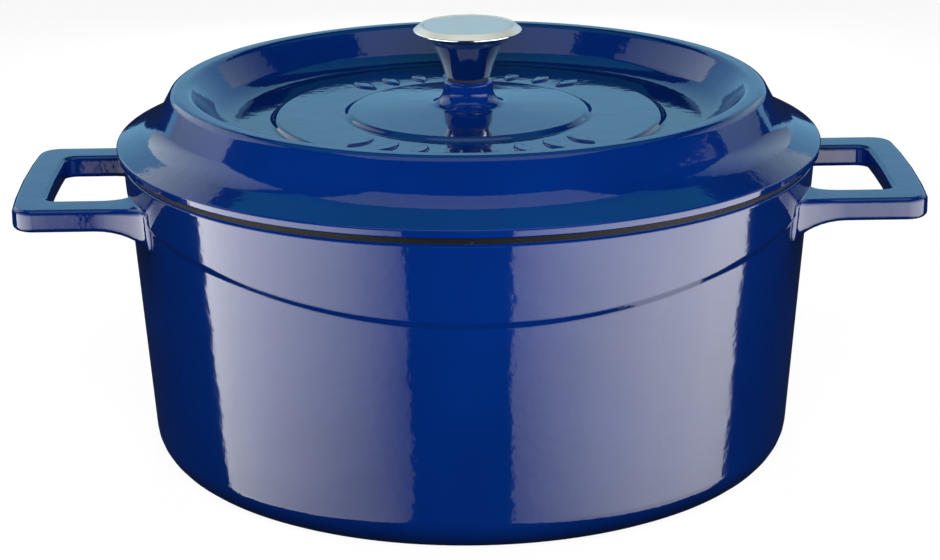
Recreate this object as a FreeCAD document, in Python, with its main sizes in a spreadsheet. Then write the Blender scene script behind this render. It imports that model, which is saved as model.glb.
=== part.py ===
"""Enamelled cast iron dutch oven: pot with two cast loop handles, lift-off lid and screwed-on metal knob.

Millimetres. +Z is up, X runs through the two handles, and the origin is the centre of the base on the
surface that the pot stands on.
"""
import FreeCAD, Part
import os

import Sketcher

SIZES = {
    # pot: the wall leans outward from the foot to the rim
    "rim_radius": 142.0,         # outside of the wall at the rim
    "wall_lean": 10.1,           # how far the wall leans in from the rim to the base plane
    "pot_height": 129.8,         # top of the rim lip
    "pot_wall": 4.3,
    "pot_floor": 5.0,
    "foot_round": 15.0,
    "floor_round": 12.0,
    "rim_width": 5.0,            # from the rim's outside in to the mouth
    "lip_height": 3.0,           # narrower lip that the lid rests on
    "lip_setback": 1.2,
    "lip_round": 0.7,
    "band_proud": 0.8,           # the wall above the swag line stands out by this
    "band_drop": 35.4,           # from the pot's top down to the swag line, at the front and the back
    "band_sweep": 512.0,         # radius of the swag line as it rises towards the handles
    "cut_margin": 10.0,          # how far a cutting outline runs past what it cuts
    # two loop handles, cast with the pot
    "handle_reach": 43.5,        # from the rim's outside to the end of a handle
    "handle_half_width": 50.0,
    "handle_drop": 13.6,         # from the pot's top down to the top of the handles
    "handle_thickness": 9.3,
    "end_bar": 13.8,
    "side_bar": 16.0,
    "end_bow": 2.0,              # the end bulges by this in its middle
    "end_bow_round": 700.0,
    "handle_corner": 9.0,
    "finger_corner": 4.5,
    "handle_edge": 2.2,
    "root_inset": 12.0,          # from the rim's outside in to where a side bar's root turns
    "root_far_inset": 22.0,
    "root_spread": 14.0,         # how far the root spreads along the wall
    "root_flare": 16.0,
    "root_reach": 8.0,           # how far past the rim's outside the root starts to thicken
    "root_depth": 11.0,
    "root_curve": 40.0,
    # lid, in its own frame with the seat at height 0
    "seat_gap": 0.3,             # between the lip of the pot and the seat of the lid
    "lid_overhang": 2.4,
    "skirt_height": 3.0,
    "skirt_round": 0.6,
    "shoulder_width": 14.9,
    "shoulder_rise": 9.4,
    "shoulder_curve": 15.0,
    "crest_outside": 23.2,       # from the lid's edge in to the crest's outer corner
    "crest_inside": 30.5,
    "crest_rise": 24.8,
    "crest_round": 4.0,
    "dish_inset": 42.9,          # from the lid's edge in to the foot of the inner slope
    "dish_rise": 9.9,
    "dish_curve": 13.0,
    "relief_inset": 21.5,        # from the foot of the slope in to the raised band
    "relief_height": 1.9,
    "relief_round": 0.8,
    "disc_radius": 49.8,
    "disc_step": 1.7,
    "disc_crown": 2.4,
    "boss_radius": 10.2,
    "boss_foot": 6.5,
    "boss_height": 25.9,
    "boss_round": 1.6,
    "lid_wall": 4.4,
    "under_shoulder_low": 3.7,
    "under_shoulder_round": 3.0,
    "under_side": 3.2,           # the underside's bend, in from the shoulder and below it
    "under_drop": 3.4,
    "under_curve": 9.0,
    "under_crest_outside": 2.1,
    "under_crest_inside": 1.3,
    "under_crest_drop": 0.8,
    "under_crest_round": 0.8,
    "under_dish_shift": 2.0,
    "under_recess_radius": 40.0,
    "under_recess_slope": 3.0,
    "under_recess_depth": 3.6,
    "ring_depth": 4.5,           # locating ring that drops inside the pot's mouth
    "ring_width": 4.0,
    "ring_clearance": 0.8,
    "ring_round": 1.2,
    "petal_inner": 57.0,         # raised petals on the lid's band, in a front and a back arc
    "petal_middle": 65.0,
    "petal_outer": 73.0,
    "petal_half_width": 3.4,
    "petal_round": 12.0,
    "petal_height": 0.8,
    "petal_arc": 84.0,
    "petal_count": 8,
    "inner_bumps": 62.0,         # rings of basting bumps under the lid
    "inner_bump_count": 18,
    "outer_bumps": 86.0,
    "outer_bump_count": 26,
    "bump_radius": 3.0,
    "bump_drop": 1.8,
    "bump_round": 1.6,
    # knob, in its own frame with the bottom of the stem at height 0
    "stem_radius": 8.9,
    "stem_round": 0.8,
    "cone_radius": 15.0,
    "cone_height": 14.6,
    "collar_radius": 16.7,
    "collar_low": 15.1,
    "collar_high": 16.6,
    "flange_radius": 22.3,
    "flange_low": 18.8,
    "flange_high": 19.7,
    "knob_height": 21.8,
    "knob_top_radius": 19.6,
    "knob_round": 0.3,
    "recess_radius": 18.4,
    "recess_depth": 1.4,
    "face_fit": 0.05,
    "face_thickness": 1.2,
    "face_round": 0.3,
    # the fastening through the lid's boss: an M6 screw from below
    "thread_radius": 2.95,
    "thread_fit": 0.05,
    "thread_depth": 12.0,
    "thread_spare": 2.8,         # thread left empty above the screw's end
    "hole_clearance": 0.45,      # round the thread, in the lid's boss and in each ring
    "gasket_radius": 8.4,
    "gasket_clearance": 0.35,
    "gasket_thickness": 0.8,
    "washer_radius": 9.0,
    "washer_clearance": 0.25,
    "washer_thickness": 1.6,
    "spring_radius": 5.4,
    "spring_clearance": 0.15,
    "spring_thickness": 1.6,
    "spring_slit": 1.2,
    "head_radius": 6.0,
    "head_height": 3.6,
    "head_round": 1.8,
    "driver_reach": 3.2,
    "driver_half_width": 0.6,
    "driver_depth": 2.2,
    "point_round": 0.8,
}

doc = FreeCAD.newDocument("dutch_oven")
sheet = doc.addObject("Spreadsheet::Sheet", "sizes")
for row, (alias, size) in enumerate(SIZES.items(), start=1):
    sheet.set(f"A{row}", alias)
    sheet.set(f"B{row}", str(size))
    sheet.setAlias(f"B{row}", alias)
doc.recompute()


def number(formula):
    """The value of a sum such as "rim_radius - pot_wall"."""
    total, sign = 0.0, 1
    for word in formula.split():
        if word in "+-":
            sign = 1 if word == "+" else -1
        elif word != "0":
            total += sign * SIZES[word]
    return total


def cells(formula):
    """The same sum, written with the sheet's cells."""
    return " ".join(word if word in "+-0" else "sizes." + word for word in formula.split())


def new_body(label):
    body = doc.addObject("PartDesign::Body", label)
    body.Label = label
    return body


def datum(body, role):
    """One of the body's own origin planes or axes."""
    return next(feature for feature in body.Origin.OriginFeatures if feature.Role == role)


def new_sketch(body, name, role):
    sketch = body.newObject("Sketcher::SketchObject", name)
    sketch.AttachmentSupport = (datum(body, role), "")
    sketch.MapMode = "FlatFace"
    return sketch


def pin(sketch, geometry, end, across, up):
    """Hold a point of the sketch at two formulas measured from the sketch's origin."""
    for kind, axis, formula in (("DistanceX", -2, across), ("DistanceY", -1, up)):
        value = number(formula)
        if formula == "0":
            sketch.addConstraint(Sketcher.Constraint("PointOnObject", geometry, end, axis))
            continue
        if value < 0:
            places = (geometry, end, -1, 1)
            expression = f"-({cells(formula)})"
        else:
            places = (-1, 1, geometry, end)
            expression = cells(formula)
        index = sketch.addConstraint(Sketcher.Constraint(kind, *places, abs(value)))
        sketch.setExpression(f"Constraints[{index}]", expression)


def outline(sketch, corners):
    """A closed outline of straight sides through (across, up, rounding) corners, each a formula."""
    first = sketch.GeometryCount
    points = [FreeCAD.Vector(number(across), number(up), 0) for across, up, rounding in corners]
    count = len(points)
    for index in range(count):
        sketch.addGeometry(Part.LineSegment(points[index], points[(index + 1) % count]), False)
    for index in range(count):
        following = first + (index + 1) % count
        sketch.addConstraint(Sketcher.Constraint("Coincident", first + index, 2, following, 1))
    for index, (across, up, rounding) in enumerate(corners):
        pin(sketch, first + index, 1, across, up)
    for index, (across, up, rounding) in enumerate(corners):
        if rounding:
            sketch.fillet(first + index, 1, number(rounding), True, True)
            arc = max(i for i, shape in enumerate(sketch.Geometry) if shape.TypeId == "Part::GeomArcOfCircle")
            radius = sketch.addConstraint(Sketcher.Constraint("Radius", arc, number(rounding)))
            sketch.setExpression(f"Constraints[{radius}]", cells(rounding))


def turned(body, name, corners, kind="PartDesign::Revolution"):
    """A full turn about the body's Z axis of a (radius, height, rounding) outline."""
    sketch = new_sketch(body, name + "_profile", "XZ_Plane")
    outline(sketch, corners)
    feature = body.newObject(kind, name)
    feature.Profile = (sketch, [""])
    feature.ReferenceAxis = (sketch, ["V_Axis"])
    feature.Angle = 360
    doc.recompute()
    return feature


def cut_through(body, name, sketch):
    """Cut the sketch's outline through the body, both ways from the sketch's plane."""
    pocket = body.newObject("PartDesign::Pocket", name)
    pocket.Profile = sketch
    pocket.Type = "ThroughAll"
    pocket.SideType = "Symmetric"
    doc.recompute()
    return pocket


def mirrored_x(corners):
    """The same outline on the other side of the sketch's upright axis."""
    return [("0" if across == "0" else negated(across), up, rounding) for across, up, rounding in corners]


def negated(formula):
    """The formula with every sign turned over."""
    words = formula.split()
    if words[0] not in "+-":
        words.insert(0, "+")
    swapped = ["-" if word == "+" else "+" if word == "-" else word for word in words]
    return " ".join(swapped)


def lifted(body, *terms):
    """Place the body at a height that follows the sheet."""
    body.setExpression("Placement.Base.z", cells(" + ".join(terms)))


# Heights and radii that several pieces share
RIM = "pot_height - lip_height"
FOOT = "rim_radius - wall_lean"
SWAG = "pot_height - band_drop"
BAR_BOTTOM = "pot_height - handle_drop - handle_thickness"
HOLE = "thread_radius + hole_clearance"
ROOT_BOTTOM = BAR_BOTTOM + " - root_depth"
TIP = "rim_radius + handle_reach"
LID_EDGE = "rim_radius + lid_overhang"
MOUTH = "rim_radius - rim_width"
RING = MOUTH + " - ring_clearance"
DISH_TOP = "dish_rise + relief_height"
UNDER_DISH = "dish_rise - lid_wall"
UNDER_RECESS = UNDER_DISH + " + under_recess_depth"
LID_SEAT = "pot_height + seat_gap"
KNOB_SEAT = LID_SEAT + " + boss_height + gasket_thickness"
WASHER_SEAT = LID_SEAT + " + " + UNDER_RECESS + " - washer_thickness"
SPRING_SEAT = WASHER_SEAT + " - spring_thickness"
SCREW_LENGTH = ("spring_thickness + washer_thickness + boss_height - dish_rise + lid_wall"
                " - under_recess_depth + gasket_thickness + thread_depth - thread_spare")


def swag_band():
    """The slightly thicker upper wall, cut along the swag line that sweeps up towards the handles."""
    body = new_body("swag_band")
    turned(body, "band_blank", [
        ("0", "0", None),
        (FOOT + " + band_proud", "0", None),
        ("rim_radius", RIM, "lip_round"),
        ("0", RIM, None),
    ])
    sketch = new_sketch(body, "swag_line", "XZ_Plane")
    side, low = "rim_radius + cut_margin", "- cut_margin"
    half, centre = number(side), number(SWAG + " + band_sweep")
    sweep = number("band_sweep")
    end = centre - (sweep ** 2 - half ** 2) ** 0.5
    corners = [(-half, end), (-half, number(low)), (half, number(low)), (half, end)]
    points = [FreeCAD.Vector(across, up, 0) for across, up in corners]
    for start, stop in zip(points, points[1:]):
        sketch.addGeometry(Part.LineSegment(start, stop), False)
    lowest = FreeCAD.Vector(0, number(SWAG), 0)
    sketch.addGeometry(Part.Arc(points[0], lowest, points[3]), False)
    for line in (0, 1):
        sketch.addConstraint(Sketcher.Constraint("Coincident", line, 2, line + 1, 1))
    sketch.addConstraint(Sketcher.Constraint("Coincident", 0, 1, 3, 1))
    sketch.addConstraint(Sketcher.Constraint("Coincident", 2, 2, 3, 2))
    pin(sketch, 1, 1, "- " + side.replace("+", "-"), low)
    pin(sketch, 1, 2, side, low)
    sketch.addConstraint(Sketcher.Constraint("Vertical", 0))
    sketch.addConstraint(Sketcher.Constraint("Vertical", 2))
    pin(sketch, 3, 3, "0", SWAG + " + band_sweep")
    radius = sketch.addConstraint(Sketcher.Constraint("Radius", 3, sweep))
    sketch.setExpression(f"Constraints[{radius}]", "sizes.band_sweep")
    cut_through(body, "below_swag_line", sketch)
    return body


def handle_edges(shape):
    """Names of the edges round the loops: every edge past the wall that isn't upright."""
    inside = number("rim_radius - root_inset")
    names = []
    for index, edge in enumerate(shape.Edges, start=1):
        box = edge.BoundBox
        outside = box.XMin > inside or box.XMax < -inside
        upright = box.XLength < 1e-6 and box.YLength < 1e-6
        if outside and not upright:
            names.append(f"Edge{index}")
    return names


def make_pot():
    """Pot casting: vessel, swag band and both handles in one piece of iron."""
    band = swag_band()
    body = new_body("pot")
    outer = [
        (TIP + " - end_bow", "- handle_half_width", "handle_corner"),
        (TIP, "0", "end_bow_round"),
        (TIP + " - end_bow", "handle_half_width", "handle_corner"),
        ("rim_radius - root_inset", "handle_half_width", "root_flare"),
        ("rim_radius - root_far_inset", "handle_half_width + root_spread", None),
    ]
    left = [(negated(across), negated(up) if up != "0" else up, rounding) for across, up, rounding in outer]
    closing = ("rim_radius - root_far_inset", "- handle_half_width - root_spread", None)
    neck = ("rim_radius - root_inset", "- handle_half_width", "root_flare")
    left_closing = (negated(closing[0]), "handle_half_width + root_spread", None)
    left_neck = (negated(neck[0]), "handle_half_width", "root_flare")
    sketch = new_sketch(body, "handle_plan", "XY_Plane")
    sketch.setExpression("AttachmentOffset.Base.z", cells(ROOT_BOTTOM))
    outline(sketch, [closing, neck] + outer + [left_closing, left_neck] + left)
    pad = body.newObject("PartDesign::Pad", "handle_slab")
    pad.Profile = sketch
    pad.setExpression("Length", cells("handle_thickness + root_depth"))

    sketch = new_sketch(body, "finger_gaps", "XY_Plane")
    gap = [
        ("rim_radius - cut_margin", "- handle_half_width + side_bar", None),
        (TIP + " - end_bar", "- handle_half_width + side_bar", "finger_corner"),
        (TIP + " - end_bar", "handle_half_width - side_bar", "finger_corner"),
        ("rim_radius - cut_margin", "handle_half_width - side_bar", None),
    ]
    outline(sketch, gap)
    outline(sketch, mirrored_x(gap))
    cut_through(body, "finger_cut", sketch)

    sketch = new_sketch(body, "root_side", "XZ_Plane")
    below = [
        ("rim_radius - root_far_inset", ROOT_BOTTOM, None),
        ("rim_radius + root_reach", BAR_BOTTOM, "root_curve"),
        (TIP + " + cut_margin", BAR_BOTTOM, None),
        (TIP + " + cut_margin", ROOT_BOTTOM + " - cut_margin", None),
        ("rim_radius - root_far_inset", ROOT_BOTTOM + " - cut_margin", None),
    ]
    outline(sketch, below)
    outline(sketch, mirrored_x(below))
    roots = cut_through(body, "root_cut", sketch)

    rounding = body.newObject("PartDesign::Fillet", "handle_rounding")
    rounding.Base = (roots, handle_edges(roots.Shape))
    rounding.setExpression("Radius", "sizes.handle_edge")
    doc.recompute()

    join = body.newObject("PartDesign::Boolean", "band_join")
    join.setObjects([band])
    join.Type = "Fuse"
    doc.recompute()

    turned(body, "vessel", [
        ("0", "0", None),
        (FOOT, "0", "foot_round"),
        ("rim_radius - band_proud", RIM, None),
        ("rim_radius - lip_setback", RIM, None),
        ("rim_radius - lip_setback", "pot_height", "lip_round"),
        ("0", "pot_height", None),
    ])
    turned(body, "cavity", [
        ("0", "pot_floor", None),
        (FOOT + " - pot_wall", "pot_floor", "floor_round"),
        (MOUTH, "pot_height - lip_height - ring_depth", None),
        (MOUTH, "pot_height + cut_margin", None),
        ("0", "pot_height + cut_margin", None),
    ], "PartDesign::Groove")
    return body


def basting_ring(body, name, radius, count):
    """A ring of round bumps under the lid, where steam gathers and drips back."""
    sketch = new_sketch(body, name + "_profile", "XZ_Plane")
    outline(sketch, [
        (radius, UNDER_DISH + " + bump_drop", None),
        (radius, UNDER_DISH + " - bump_drop", None),
        (radius + " + bump_radius", UNDER_DISH + " - bump_drop", "bump_round"),
        (radius + " + bump_radius", UNDER_DISH + " + bump_drop", None),
    ])
    bump = body.newObject("PartDesign::Revolution", name)
    bump.Profile = (sketch, [""])
    bump.ReferenceAxis = (sketch, ["Edge1"])
    bump.Angle = 360
    doc.recompute()
    pattern = body.newObject("PartDesign::PolarPattern", name + "_ring")
    pattern.Originals = [bump]
    pattern.Axis = (datum(body, "Z_Axis"), [""])
    pattern.Angle = 360
    pattern.setExpression("Occurrences", "sizes." + count)
    body.Tip = pattern
    doc.recompute()


def petals(body):
    """Raised petals on the lid's band, in an arc at the front and one at the back."""
    sketch = new_sketch(body, "petal_outline", "XY_Plane")
    turn = FreeCAD.Rotation(FreeCAD.Vector(0, 0, -1), number("petal_arc") / 2)
    sketch.AttachmentOffset = FreeCAD.Placement(FreeCAD.Vector(), turn)
    sketch.setExpression("AttachmentOffset.Base.z", cells(DISH_TOP + " - relief_height"))
    sketch.setExpression("AttachmentOffset.Rotation.Angle", "sizes.petal_arc / 2")
    front = [
        ("0", "- petal_outer", None),
        ("petal_half_width", "- petal_middle", "petal_round"),
        ("0", "- petal_inner", None),
        ("- petal_half_width", "- petal_middle", "petal_round"),
    ]
    back = [(across, negated(up), rounding) for across, up, rounding in front]
    outline(sketch, front)
    outline(sketch, back)
    pad = body.newObject("PartDesign::Pad", "petal")
    pad.Profile = sketch
    pad.setExpression("Length", cells("relief_height + petal_height"))
    doc.recompute()
    pattern = body.newObject("PartDesign::PolarPattern", "petal_arcs")
    pattern.Originals = [pad]
    pattern.Axis = (datum(body, "Z_Axis"), [""])
    pattern.setExpression("Angle", "sizes.petal_arc")
    pattern.setExpression("Occurrences", "sizes.petal_count")
    body.Tip = pattern
    doc.recompute()


def make_lid():
    """Lid casting: overhanging skirt, crest, sunk dish with raised bands, boss and locating ring."""
    body = new_body("lid")
    turned(body, "casting", [
        (HOLE, "boss_height", None),
        ("boss_radius", "boss_height", "boss_round"),
        ("boss_radius", DISH_TOP + " + disc_step + disc_crown", "boss_foot"),
        ("disc_radius", DISH_TOP + " + disc_step", "relief_round"),
        ("disc_radius", DISH_TOP, "relief_round"),
        (LID_EDGE + " - dish_inset - relief_inset", DISH_TOP, "relief_round"),
        (LID_EDGE + " - dish_inset - relief_inset", "dish_rise", "relief_round"),
        (LID_EDGE + " - dish_inset", "dish_rise", "dish_curve"),
        (LID_EDGE + " - crest_inside", "crest_rise", "crest_round"),
        (LID_EDGE + " - crest_outside", "crest_rise", "crest_round"),
        (LID_EDGE + " - shoulder_width", "shoulder_rise", "shoulder_curve"),
        (LID_EDGE, "skirt_height", "skirt_round"),
        (LID_EDGE, "0", "skirt_round"),
        (RING, "0", None),
        (RING, "- ring_depth", "ring_round"),
        (RING + " - ring_width", "- ring_depth", "ring_round"),
        (RING + " - ring_width", "under_shoulder_low", "under_shoulder_round"),
        (LID_EDGE + " - shoulder_width - under_side", "shoulder_rise - under_drop", "under_curve"),
        (LID_EDGE + " - crest_outside - under_crest_outside", "crest_rise - lid_wall - under_crest_drop",
         "under_crest_round"),
        (LID_EDGE + " - crest_inside + under_crest_inside", "crest_rise - lid_wall - under_crest_drop",
         "under_crest_round"),
        (LID_EDGE + " - dish_inset + under_dish_shift", UNDER_DISH, "dish_curve"),
        ("under_recess_radius + under_recess_slope", UNDER_DISH, None),
        ("under_recess_radius", UNDER_RECESS, None),
        (HOLE, UNDER_RECESS, None),
    ])
    petals(body)
    basting_ring(body, "inner_bump", "inner_bumps", "inner_bump_count")
    basting_ring(body, "outer_bump", "outer_bumps", "outer_bump_count")
    lifted(body, LID_SEAT)
    return body


def make_knob():
    """Knob: a turned metal cone and flange with a recess for its face and a blind threaded hole."""
    body = new_body("knob")
    bore = "thread_radius + thread_fit"
    turned(body, "turning", [
        (bore, "0", None),
        ("stem_radius", "0", "stem_round"),
        ("cone_radius", "cone_height", None),
        ("collar_radius", "collar_low", "knob_round"),
        ("collar_radius", "collar_high", None),
        ("flange_radius", "flange_low", "knob_round"),
        ("flange_radius", "flange_high", "knob_round"),
        ("knob_top_radius", "knob_height", "knob_round"),
        ("recess_radius", "knob_height", None),
        ("recess_radius", "knob_height - recess_depth", None),
        ("0", "knob_height - recess_depth", None),
        ("0", "thread_depth", None),
        (bore, "thread_depth", None),
    ])
    lifted(body, KNOB_SEAT)
    return body


def make_disc(label, radius, thickness, rounding, *seat):
    """A plain turned disc with its upper edge eased."""
    body = new_body(label)
    turned(body, label + "_turning", [
        ("0", "0", None),
        (radius, "0", None),
        (radius, thickness, rounding),
        ("0", thickness, None),
    ])
    lifted(body, *seat)
    return body


def make_washer(label, radius, bore, thickness, seat):
    """A flat ring."""
    body = new_body(label)
    turned(body, label + "_turning", [
        (bore, "0", None),
        (radius, "0", None),
        (radius, thickness, None),
        (bore, thickness, None),
    ])
    lifted(body, seat)
    return body


def make_spring_washer():
    """Split lock washer, pressed flat."""
    body = make_washer("spring_washer", "spring_radius", "thread_radius + spring_clearance",
                       "spring_thickness", SPRING_SEAT)
    sketch = new_sketch(body, "slit_outline", "XY_Plane")
    outline(sketch, [
        ("0", "0", None),
        ("spring_radius + cut_margin", "0", None),
        ("spring_radius + cut_margin", "spring_slit", None),
        ("0", "spring_slit", None),
    ])
    cut_through(body, "slit", sketch)
    return body


def make_screw():
    """Pan-head screw that comes up through the boss into the knob."""
    body = new_body("knob_screw")
    turned(body, "screw_turning", [
        ("0", "- head_height", None),
        ("head_radius", "- head_height", "head_round"),
        ("head_radius", "0", None),
        ("thread_radius", "0", None),
        ("thread_radius", SCREW_LENGTH, "point_round"),
        ("0", SCREW_LENGTH, None),
    ])
    sketch = new_sketch(body, "driver_cross", "XY_Plane")
    sketch.setExpression("AttachmentOffset.Base.z", "-sizes.head_height")
    near, far = "driver_half_width", "driver_reach"
    quarter = [(near, near), (far, near), (far, "- " + near), (near, "- " + near)]
    across = quarter + [(near, "- " + far), ("- " + near, "- " + far), ("- " + near, "- " + near)]
    across += [("- " + far, "- " + near), ("- " + far, near), ("- " + near, near), ("- " + near, far)]
    outline(sketch, [(right, up, None) for right, up in across + [(near, far)]])
    recess = body.newObject("PartDesign::Pocket", "driver_recess")
    recess.Profile = sketch
    recess.Reversed = True
    recess.setExpression("Length", "sizes.driver_depth")
    lifted(body, SPRING_SEAT)
    doc.recompute()
    return body


sub_parts = [
    make_pot(),
    make_lid(),
    make_knob(),
    make_disc("knob_face", "recess_radius - face_fit", "face_thickness", "face_round",
              KNOB_SEAT, "knob_height - recess_depth"),
    make_washer("knob_gasket", "gasket_radius", "thread_radius + gasket_clearance",
                "gasket_thickness", LID_SEAT + " + boss_height"),
    make_washer("flat_washer", "washer_radius", "thread_radius + washer_clearance",
                "washer_thickness", WASHER_SEAT),
    make_spring_washer(),
    make_screw(),
]
doc.recompute()

for item in doc.Objects:
    if "Invalid" in item.State or "Error" in item.State:
        raise RuntimeError(f"{item.Label} failed: {item.State}")
os.makedirs("parts", exist_ok=True)
for piece in sub_parts:
    shape = piece.Shape
    if shape.isNull() or not shape.isValid() or len(shape.Solids) != 1:
        raise RuntimeError(f"{piece.Label} is not one sound solid")
for piece in sub_parts:
    piece.Shape.exportStep(f"parts/{piece.Label}.step")
    box = piece.Shape.BoundBox
    print(f"{piece.Label}: {piece.Shape.Volume / 1000:.2f} cm3, z {box.ZMin:.2f} to {box.ZMax:.2f}")
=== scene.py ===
"""Looks of an enamelled cast iron dutch oven, laid out as an add-on and run as a script.

Metres, in the frame's own axes: +Z is up, X runs through the two handles, and the origin is the
centre of the base on the surface that the pot stands on.
"""

import math

import bmesh
import bpy
from bpy.props import FloatProperty, FloatVectorProperty, IntProperty, PointerProperty
from mathutils import Matrix, Vector


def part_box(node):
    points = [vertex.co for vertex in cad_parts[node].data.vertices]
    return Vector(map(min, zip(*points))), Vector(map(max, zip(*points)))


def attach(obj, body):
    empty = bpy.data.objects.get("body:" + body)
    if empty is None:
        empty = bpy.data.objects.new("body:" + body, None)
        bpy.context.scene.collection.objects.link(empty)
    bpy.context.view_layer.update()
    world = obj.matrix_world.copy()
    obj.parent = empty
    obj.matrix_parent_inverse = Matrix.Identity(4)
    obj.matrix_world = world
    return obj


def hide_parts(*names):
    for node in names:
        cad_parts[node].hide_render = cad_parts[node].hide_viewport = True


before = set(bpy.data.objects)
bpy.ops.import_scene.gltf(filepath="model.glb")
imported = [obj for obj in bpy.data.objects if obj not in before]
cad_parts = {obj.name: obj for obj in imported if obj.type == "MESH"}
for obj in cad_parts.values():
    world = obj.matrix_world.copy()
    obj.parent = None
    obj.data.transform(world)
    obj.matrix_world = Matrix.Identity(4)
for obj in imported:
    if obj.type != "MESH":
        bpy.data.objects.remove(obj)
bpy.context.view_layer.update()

bl_info = {
    "name": "Dutch Oven",
    "version": (1, 0, 0),
    "blender": (4, 5, 0),
    "location": "3D View > Sidebar > Dutch Oven",
    "description": "Models and finishes an enamelled cast iron dutch oven around its frame",
    "category": "Add Mesh",
}

POT_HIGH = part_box("pot")[1]
LID_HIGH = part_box("lid")[1]
KNOB_LOW, KNOB_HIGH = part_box("knob")
FACE_LOW, FACE_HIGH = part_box("knob_face")


def length(name, description, default):
    """A length in metres."""
    return FloatProperty(name=name, description=description, default=default, unit="LENGTH", precision=5)


def plain(name, description, default):
    """A value without a unit."""
    return FloatProperty(name=name, description=description, default=default, precision=4)


def count(name, description, default):
    """A whole number, at least one."""
    return IntProperty(name=name, description=description, default=default, min=1)


def turn(name, description, default):
    """An angle, given in degrees."""
    return FloatProperty(name=name, description=description, default=math.radians(default), unit="ROTATION")


def paint(name, description, default):
    """A colour."""
    return FloatVectorProperty(name=name, description=description, default=default, size=3,
                               subtype="COLOR", min=0.0, max=1.0)


class PotSizes(bpy.types.PropertyGroup):
    """Sizes of the pot's vessel."""
    rim_radius: length("Rim radius", "Outside of the wall at the rim", POT_HIGH.y)
    wall_lean: length("Wall lean", "How far the wall leans in from the rim to the base", 0.0101)
    height: length("Height", "Top of the lip that the lid rests on", POT_HIGH.z)
    wall: length("Wall", "Thickness of the wall at the floor", 0.0043)
    floor: length("Floor", "Thickness of the floor", 0.005)
    foot_round: length("Foot rounding", "Radius where the wall meets the base outside", 0.015)
    floor_round: length("Floor rounding", "Radius where the wall meets the floor inside", 0.012)
    rim_width: length("Rim width", "From the rim's outside in to the mouth", 0.005)
    lip_height: length("Lip height", "The bare black lip above the coloured rim", 0.003)
    lip_setback: length("Lip setback", "How far the lip is set back from the rim's outside", 0.0012)
    mouth_depth: length("Mouth depth", "Upright stretch below the lip's top inside", 0.0075)
    band_proud: length("Band proud", "How far the upper wall stands out over the lower", 0.0008)
    band_edge: length("Band edge", "Height that the band's edge slopes over", 0.0026)
    band_drop: length("Band drop", "From the pot's top to the band's edge at front and back", 0.0362)
    band_sweep: length("Band sweep", "Radius of the band's edge as it rises to the handles", 0.512)
    band_fade_low: length("Band fade low", "Height below which the wall's rows stay level", 0.030)
    band_fade_high: length("Band fade high", "Height above which the wall's rows stay level", 0.122)
    band_margin: length("Band margin", "Height of the rows just below and above the band's edge", 0.003)
    wall_row: length("Wall row", "Height of the row halfway up the wall", 0.062)
    steps: count("Steps", "Divisions round the pot", 256)


class HandleSizes(bpy.types.PropertyGroup):
    """Sizes of the two loop handles."""
    tip: length("Tip", "Furthest point of a handle from the centre", POT_HIGH.x)
    half_width: length("Half width", "Half the handle's width along the wall", 0.050)
    top: length("Top", "Height of the handle's top", 0.1162)
    thickness: length("Thickness", "Depth of the bars from top to bottom", 0.0093)
    end_bar: length("End bar", "Width of the bar that the hand holds", 0.0138)
    side_bar: length("Side bar", "Width of the two bars from the wall", 0.016)
    bow: length("Bow", "How far the end bar bulges in its middle", 0.002)
    corner: length("Corner", "Radius of the outer corners in plan", 0.009)
    finger_corner: length("Finger corner", "Radius of the inner corners in plan", 0.0045)
    edge: length("Edge", "Rounding of the bars' long edges", 0.0023)
    root_start: length("Root start", "Where a side bar starts to swell, from the centre", 0.1500)
    root_outside: length("Root outside", "How far the root spreads on the outer side", 0.009)
    root_inside: length("Root inside", "How far the root spreads into the finger gap", 0.0025)
    root_above: length("Root above", "How far the root spreads above the bar", 0.0015)
    root_below: length("Root below", "How far the root spreads below the bar", 0.0075)
    root_sink: length("Root sink", "How far the root ends inside the wall", 0.002)
    root_rings: count("Root rings", "Divisions along the swelling root", 8)


class LidSizes(bpy.types.PropertyGroup):
    """Sizes of the lid, with heights from its seat on the lip."""
    seat: length("Seat", "Height of the surface that rests over the lip", 0.1301)
    edge: length("Edge", "Radius of the lid's edge", LID_HIGH.y)
    ring: length("Ring", "Outside of the locating ring inside the mouth", 0.1362)
    hole: length("Hole", "Radius of the screw's hole", 0.0034)
    boss: length("Boss", "Radius of the boss under the knob", 0.0102)
    boss_top: length("Boss top", "Height of the boss's top", LID_HIGH.z)
    band: length("Band", "Height of the raised band over the seat", 0.0118)
    disc: length("Disc", "Radius of the raised middle disc", 0.0498)
    crown: length("Crown", "Rise of the middle disc from its rim to the boss", 0.0024)
    underside: length("Underside", "Height of the dish's underside over the seat", 0.0055)
    petal_inner: length("Petal inner", "Where a petal starts on the band", 0.0570)
    petal_outer: length("Petal outer", "Where a petal ends on the band", 0.0730)
    petal_half_width: length("Petal half width", "Half the width of a petal", 0.0034)
    petal_height: length("Petal height", "How far a petal stands over the band", 0.0008)
    petal_arc: turn("Petal arc", "Arc of the petals at the front and at the back", 84.0)
    petal_count: count("Petals", "Petals in each arc", 8)
    inner_bumps: length("Inner bumps", "Radius of the inner ring of basting bumps", 0.062)
    inner_count: count("Inner count", "Basting bumps in the inner ring", 18)
    outer_bumps: length("Outer bumps", "Radius of the outer ring of basting bumps", 0.086)
    outer_count: count("Outer count", "Basting bumps in the outer ring", 26)
    bump_drop: length("Bump drop", "How far a basting bump stands down", 0.0018)
    bump_radius: length("Bump radius", "Radius of a basting bump", 0.003)
    steps: count("Steps", "Divisions round the lid", 288)


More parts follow.
